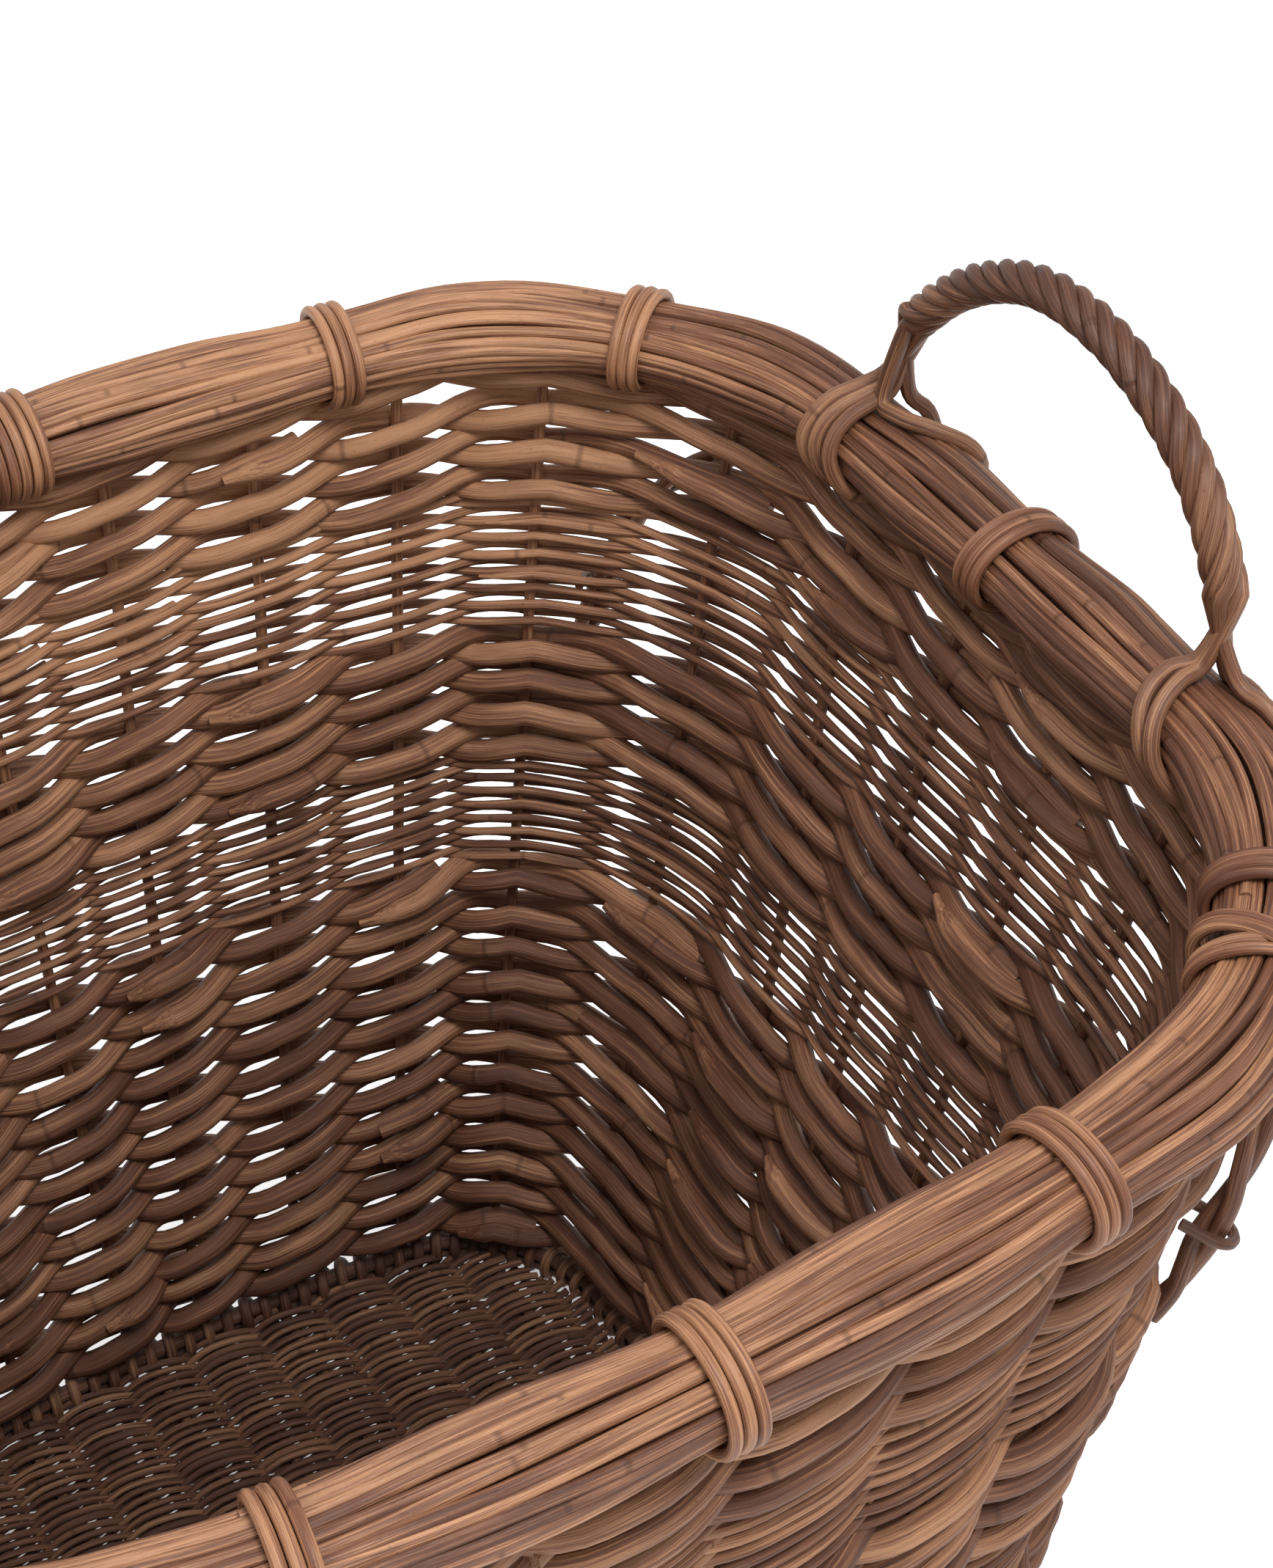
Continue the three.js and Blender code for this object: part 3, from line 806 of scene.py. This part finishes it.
class BASKET_OT_rim(bpy.types.Operator):
    """Bundles the rim's long canes, cut where a binding holds them"""
    bl_idname = "basket.rim"
    bl_label = "Rim"

    def execute(self, context):
        sizes = context.scene.basket_sizes
        material = cane_shader("rim_cane", sizes.pale, sizes.dark, 0.52, 0.08)
        canes = Canes(51)
        rng = canes.rng
        girth = sizes.rim_cane / 2
        stops = sorted(BINDINGS.values()) + [SPLICE]
        for number in range(sizes.rim_canes):
            base_angle = 2 * math.pi * (number + rng.uniform(-0.15, 0.15)) / sizes.rim_canes
            cuts = np.sort(rng.choice(stops, 2, replace=False))
            for part in range(2):
                start = cuts[part] - rng.uniform(0.002, 0.012)
                end = cuts[(part + 1) % 2] + (RIM_ROUND if part else 0) + rng.uniform(0.004, 0.012)
                way = np.arange(start, end, 0.0065)
                size = girth * rng.uniform(0.86, 1.12)
                angle = base_angle + wander(rng, way, 0.5, 0.10) + wander(rng, way, 0.16, 0.03)
                grow = wander(rng, way, 0.3, 0.0006) - size - 0.0006 + swelling(way)
                canes.add(rim_points(way, angle, grow), size, start=rng.uniform(0, 1))
        fill, depth, fill_girth = RIM_FILL
        for number in range(fill):
            way = np.arange(0, RIM_ROUND + 0.004, 0.009)
            angle = 2 * math.pi * number / fill + wander(rng, way, 0.4, 0.1)
            canes.add(rim_points(way, angle, -depth), fill_girth, tone=0.1)
        for angle in (0, math.pi):
            way = np.arange(0, RIM_ROUND + 0.004, 0.012)
            points = rim_points(way, np.full(way.size, angle), -RIM_CORE_DEPTH)
            canes.add(points, RIM_CORE_GIRTH, tone=0.1)
        canes.build("rim_bundle", material, ["rim_bundle"], 9, 0.12)
        return {"FINISHED"}


def bind(canes, middle, turns, girth, lean=0.0, rise=0.0):
    """Coils a cane round the rim; both ends dive into the bundle underneath."""
    rng = canes.rng
    start = -0.5 * math.pi + rng.uniform(-0.3, 0.3)
    angle = np.linspace(start, start + 2 * math.pi * turns, int(turns * 44))
    share = np.linspace(-0.5, 0.5, angle.size)
    way = middle + share * turns * girth * 2.08 + lean * np.cos(angle)
    ends = smoothstep(0.0, 0.35, angle - start) * smoothstep(0.0, 0.35, angle[-1] - angle)
    grow = rise + girth * 0.92 - (1 - ends) * girth * 2.2 + wander(rng, angle, 5, girth * 0.06)
    tone = rng.uniform(0.35, 0.75)
    canes.add(rim_points(way, angle, grow), girth, tone=tone, start=rng.uniform(0, 1))


class BASKET_OT_bindings(bpy.types.Operator):
    """Binds the rim with turns of cane"""
    bl_idname = "basket.bindings"
    bl_label = "Bindings"

    def execute(self, context):
        sizes = context.scene.basket_sizes
        dark = scaled(sizes.dark, 1.25)
        material = cane_shader("binding_cane", sizes.pale, dark, 0.5, 0.1, 0.25)
        girth = sizes.binding_cane / 2
        for seed, (node, middle) in enumerate(BINDINGS.items(), 61):
            canes = Canes(seed)
            bind(canes, middle, 3, girth)
            canes.build(node, material, [node], 10, 0.05)
        canes = Canes(80)
        bind(canes, SPLICE, 10, girth)
        canes.build("wrap_splice_far", material, ["wrap_splice_far"], 10, 0.05)
        canes = Canes(81)
        bind(canes, CROSSED - 0.002, 2, girth, 0.006)
        bind(canes, CROSSED + 0.002, 2, girth, -0.006, girth * 0.8)
        canes.build("wrap_crossed_near_right", material,
                    ["wrap_crossed_near_right"], 10, 0.05)
        return {"FINISHED"}


HANDLE_HALF_SPAN = 0.093
HANDLE_LEAN = 0.005
FAR_SHOULDER, NEAR_SHOULDER = 1.75, 1.05
HANDLE_RADIUS = 0.0072
# Five canes just touch round the rope at its radius / 2.7; a little more presses them together.
HANDLE_GIRTH = HANDLE_RADIUS / 2.7 * 1.04
HANDLE_TURNS = 5.5
HANDLE_STEP = 0.0028
ROPE_POINTS = 150
# The part of the rope where its canes lie together, with every second point.
ROPE_KEPT = slice(20, -12, 2)
# Each cane's way off the rope's end: (metres along the rim from the foot, degrees round it from
# outward up, lift in cane radii). Some go over the rim and in, the others down its outside.
FAR_FEET = (
    ((-0.004, 72, 3.4), (-0.001, 92, 1.5), (0.002, 118, 1.1), (0.003, 145, 1.0), (0.003, 175, 1.0),
     (-0.001, 210, 1.0), (-0.007, 245, 0.9), (-0.012, 272, 0.5)),
    ((-0.008, 74, 3.2), (-0.006, 94, 1.4), (-0.004, 118, 1.1), (-0.003, 145, 1.0), (-0.004, 175, 1.0),
     (-0.008, 210, 1.0), (-0.013, 245, 0.9), (-0.017, 272, 0.5)),
    ((-0.011, 76, 3.0), (-0.011, 96, 1.4), (-0.010, 118, 1.1), (-0.010, 145, 1.0), (-0.012, 175, 1.0),
     (-0.016, 210, 1.0), (-0.021, 245, 0.9), (-0.024, 272, 0.5)),
    ((-0.012, 62, 2.6), (-0.015, 30, 1.3), (-0.017, 0, 1.0), (-0.016, -30, 0.9), (-0.014, -62, 0.5)),
    ((-0.012, 88, 1.9), (-0.022, 90, 1.3), (-0.034, 70, 1.1), (-0.041, 35, 1.0), (-0.043, 0, 1.0),
     (-0.042, -40, 0.7)),
)
NEAR_FEET = (
    ((0.002, 78, 2.4), (0.005, 102, 1.3), (0.003, 130, 1.1), (-0.002, 158, 1.0), (-0.009, 190, 1.0),
     (-0.018, 225, 0.9), (-0.026, 262, 0.5)),
    ((0.000, 78, 2.0), (-0.001, 102, 1.2), (-0.004, 130, 1.0), (-0.009, 158, 1.0), (-0.016, 190, 1.0),
     (-0.025, 225, 0.9), (-0.032, 262, 0.5)),
    ((-0.002, 58, 1.8), (-0.010, 38, 1.2), (-0.017, 12, 1.0), (-0.022, -20, 1.0), (-0.025, -55, 0.5)),
    ((-0.008, 60, 1.6), (-0.018, 42, 1.2), (-0.026, 16, 1.0), (-0.031, -18, 1.0), (-0.034, -55, 0.5)),
    ((0.000, 50, 1.4), (-0.003, 25, 1.0), (-0.006, 0, 1.0), (-0.008, -30, 0.9), (-0.009, -60, 0.5)),
)


def foot_route(middle, foot, girth):
    """Points of a cane that leaves the rope's end and goes round the rim."""
    slide, bend, lift = np.array(foot).T
    return rim_points(middle + slide, np.radians(bend), lift * girth)


def handle_spine(end, steps):
    """Middle of the rope, from its far foot at the right end, or its near foot at the left."""
    low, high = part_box("handle_rope_right" if end > 0 else "handle_rope_left")
    apex = high.z - HANDLE_RADIUS
    angle = np.linspace(0, math.pi, 400)
    shoulder = np.where(angle < math.pi / 2, FAR_SHOULDER, NEAR_SHOULDER)
    across = HANDLE_HALF_SPAN * np.cos(angle) - HANDLE_LEAN * np.sin(angle) ** 2
    spine = np.stack([np.full(400, (low.x + high.x) / 2), end * across,
                      low.z + (apex - low.z) * np.abs(np.sin(angle)) ** shoulder], 1)
    way = np.concatenate([[0], np.cumsum(np.linalg.norm(np.diff(spine, axis=0), axis=1))])
    even = np.linspace(0, way[-1], steps)
    return even, np.stack([np.interp(even, way, spine[:, i]) for i in range(3)], 1)


def handle_canes(canes, end):
    """One twisted handle; its canes part at each foot and go round the rim."""
    rng = canes.rng
    even, spine = handle_spine(end, ROPE_POINTS)
    ahead = np.gradient(spine, axis=0)
    ahead /= np.linalg.norm(ahead, axis=1)[:, None]
    side = np.tile([float(end), 0, 0], (ROPE_POINTS, 1))
    up = np.cross(ahead, side)
    ring = HANDLE_RADIUS - HANDLE_GIRTH
    middle = 0 if end > 0 else HALF_ROUND
    for number, (far_foot, near_foot) in enumerate(zip(FAR_FEET, NEAR_FEET)):
        twist = 2 * math.pi * (number / len(FAR_FEET) + HANDLE_TURNS * even / even[-1])
        twist = twist + wander(rng, even, 0.12, 0.06)
        rope = spine + ring * (side * np.cos(twist)[:, None] + up * np.sin(twist)[:, None])
        first = foot_route(middle + FOOT, far_foot, HANDLE_GIRTH)
        last = foot_route(middle - FOOT, near_foot, HANDLE_GIRTH)
        points = smooth_way(np.vstack([first[::-1], rope[ROPE_KEPT], last]), HANDLE_STEP)
        height = (points[:, 2] - spine[0, 2]) / (spine[:, 2].max() - spine[0, 2])
        # Painted shade: each handle cane is painted darker towards the top of the handle.
        tone = rng.uniform(0.5, 0.9) - 0.7 * smoothstep(0.5, 1.0, height)
        canes.add(points, HANDLE_GIRTH * rng.uniform(0.94, 1.05), tone=tone)


# The tail's way down the outside of the wall: turn of the corner, height, and distance off its middle.
TAIL_ROUTE = (
    (-0.015, 0.434, 0.0280), (0.129, 0.420, 0.0260), (0.286, 0.404, 0.0250), (0.429, 0.386, 0.0244),
    (0.529, 0.366, 0.0236), (0.564, 0.345, 0.0226), (0.586, 0.328, 0.0190), (0.614, 0.312, 0.0160),
    (0.640, 0.303, 0.0105),
)
TAIL_RADIUS = 0.0056
TAIL_GIRTH = TAIL_RADIUS / 2 * 1.06
TAIL_TURNS = 2.5
# Stitches: share of the way down the tail, and how far in towards the wall their ends are led.
TIES = ((0.39, 0.0142), (0.83, 0.0105))
TIE_GIRTH, TIE_GAP = 0.0020, 0.0026


def corner_quarters(turn, z, depth, end):
    """Quarters round the wall for a turn (0 to 1) of one corner; depth and end are +1 or -1."""
    which = "far_corner" if depth > 0 else "near_corner"
    plan = plan_at(z)
    corner = plan[which]
    way = plan["half_width"] - corner + corner * math.pi / 2 * turn
    quarters = way / quarter_outline(z, 1, which)[1]
    if end > 0:
        return quarters if depth > 0 else 4 - quarters
    return 2 - quarters if depth > 0 else 2 + quarters


def tail_spine(depth, end):
    points = []
    for turn, z, off in TAIL_ROUTE:
        quarters = corner_quarters(turn, z, depth, end)
        points.append(wall.at(quarters, z) + off * levelled(wall.outward(quarters, z)))
    return smooth_way(points, 0.003)


def spine_frames(spine):
    ahead = np.gradient(spine, axis=0)
    ahead /= np.linalg.norm(ahead, axis=1)[:, None]
    side = np.cross(ahead, (0, 0, 1.0))
    side /= np.linalg.norm(side, axis=1)[:, None]
    return ahead, side, np.cross(side, ahead)


def tail_canes(canes, spine, depth, end):
    """Two canes twisted together, from under the rim at the handle's foot to the tail's end."""
    side, up = spine_frames(spine)[1:]
    share = np.linspace(0, 1, len(spine))
    spread = (TAIL_RADIUS - TAIL_GIRTH) * (0.7 + 0.3 * smoothstep(0, 0.05, 1 - share))
    foot = (0 if end > 0 else HALF_ROUND) + depth * end * FOOT
    for strand in (0, math.pi):
        twist = strand + 2 * math.pi * TAIL_TURNS * share
        points = spine + spread[:, None] * (
            side * np.cos(twist)[:, None] + up * np.sin(twist)[:, None])
        shift = (0.004 if strand else -0.004) * depth * end
        start = rim_points(foot + np.array([shift, shift]), np.radians([250, 292]), TAIL_GIRTH)
        points = smooth_way(np.vstack([start, points[3::3], points[-1:]]), 0.0028)
        canes.add(points, TAIL_GIRTH, tone=canes.rng.uniform(0.1, 0.5))


def tie_points(spine, share, inward, depth, end):
    """A stitch: half a turn over the tail, with both ends led in towards the wall."""
    at = int(share * (len(spine) - 1))
    ahead = spine_frames(spine)[0][at]
    angle = np.radians(np.linspace(-90, 90, 17))
    out = np.array([end, depth, -0.1])
    out = out - ahead * np.dot(out, ahead)
    out /= np.linalg.norm(out)
    across = np.cross(ahead, out)
    loop = spine[at] + (TAIL_RADIUS + TIE_GAP) * (
        out * np.cos(angle)[:, None] + across * np.sin(angle)[:, None])
    inner = [loop[0] - out * inward, loop[-1] - out * inward]
    return smooth_way(np.vstack([inner[:1], loop[::4], inner[1:]]), 0.0016)


class BASKET_OT_handles(bpy.types.Operator):
    """Twists the two handles, their tails down the wall and the stitches that hold them"""
    bl_idname = "basket.handles"
    bl_label = "Handles"

    def execute(self, context):
        sizes = context.scene.basket_sizes
        material = cane_shader("handle_cane", scaled(sizes.pale, 0.85), scaled(sizes.dark, 0.9), 0.5, 0.1)
        for end, name in ((1, "right"), (-1, "left")):
            canes = Canes(90 + end)
            handle_canes(canes, end)
            canes.build("handle_" + name, material,
                        [f"handle_rope_{name}", f"handle_foot_far_{name}", f"handle_foot_near_{name}"],
                        12, 0.06)
            for depth, where in ((1, "far"), (-1, "near")):
                corner = f"{where}_{name}"
                spine = tail_spine(depth, end)
                canes = Canes(95 + end + 2 * depth)
                tail_canes(canes, spine, depth, end)
                canes.build("handle_tail_" + corner, material,
                            ["handle_tail_" + corner], 12, 0.06)
                for number, (share, inward) in enumerate(TIES, 1):
                    canes = Canes(100 + number)
                    canes.add(tie_points(spine, share, inward, depth, end), TIE_GIRTH)
                    node = f"tail_tie_{number}_{corner}"
                    canes.build(node, material, [node], 8, 0.05)
        return {"FINISHED"}


class BASKET_PT_panel(bpy.types.Panel):
    """Sizes, colours and the buttons that build the basket"""
    bl_idname = "BASKET_PT_panel"
    bl_label = "Laundry basket"
    bl_space_type = "VIEW_3D"
    bl_region_type = "UI"
    bl_category = "Basket"

    def draw(self, context):
        for name in BasketSizes.__annotations__:
            self.layout.prop(context.scene.basket_sizes, name)
        for operator in OPERATORS:
            self.layout.operator(operator.bl_idname)


OPERATORS = (BASKET_OT_stage, BASKET_OT_base, BASKET_OT_wall, BASKET_OT_rim,
             BASKET_OT_bindings, BASKET_OT_handles)
CLASSES = (BasketSizes, *OPERATORS, BASKET_PT_panel)


def register():
    for item in CLASSES:
        bpy.utils.register_class(item)
    bpy.types.Scene.basket_sizes = PointerProperty(type=BasketSizes)


def unregister():
    del bpy.types.Scene.basket_sizes
    for item in reversed(CLASSES):
        bpy.utils.unregister_class(item)


def main():
    register()
    bpy.ops.basket.stage()
    bpy.ops.basket.base()
    bpy.ops.basket.wall()
    bpy.ops.basket.rim()
    bpy.ops.basket.bindings()
    bpy.ops.basket.handles()


if __name__ == "__main__":
    main()
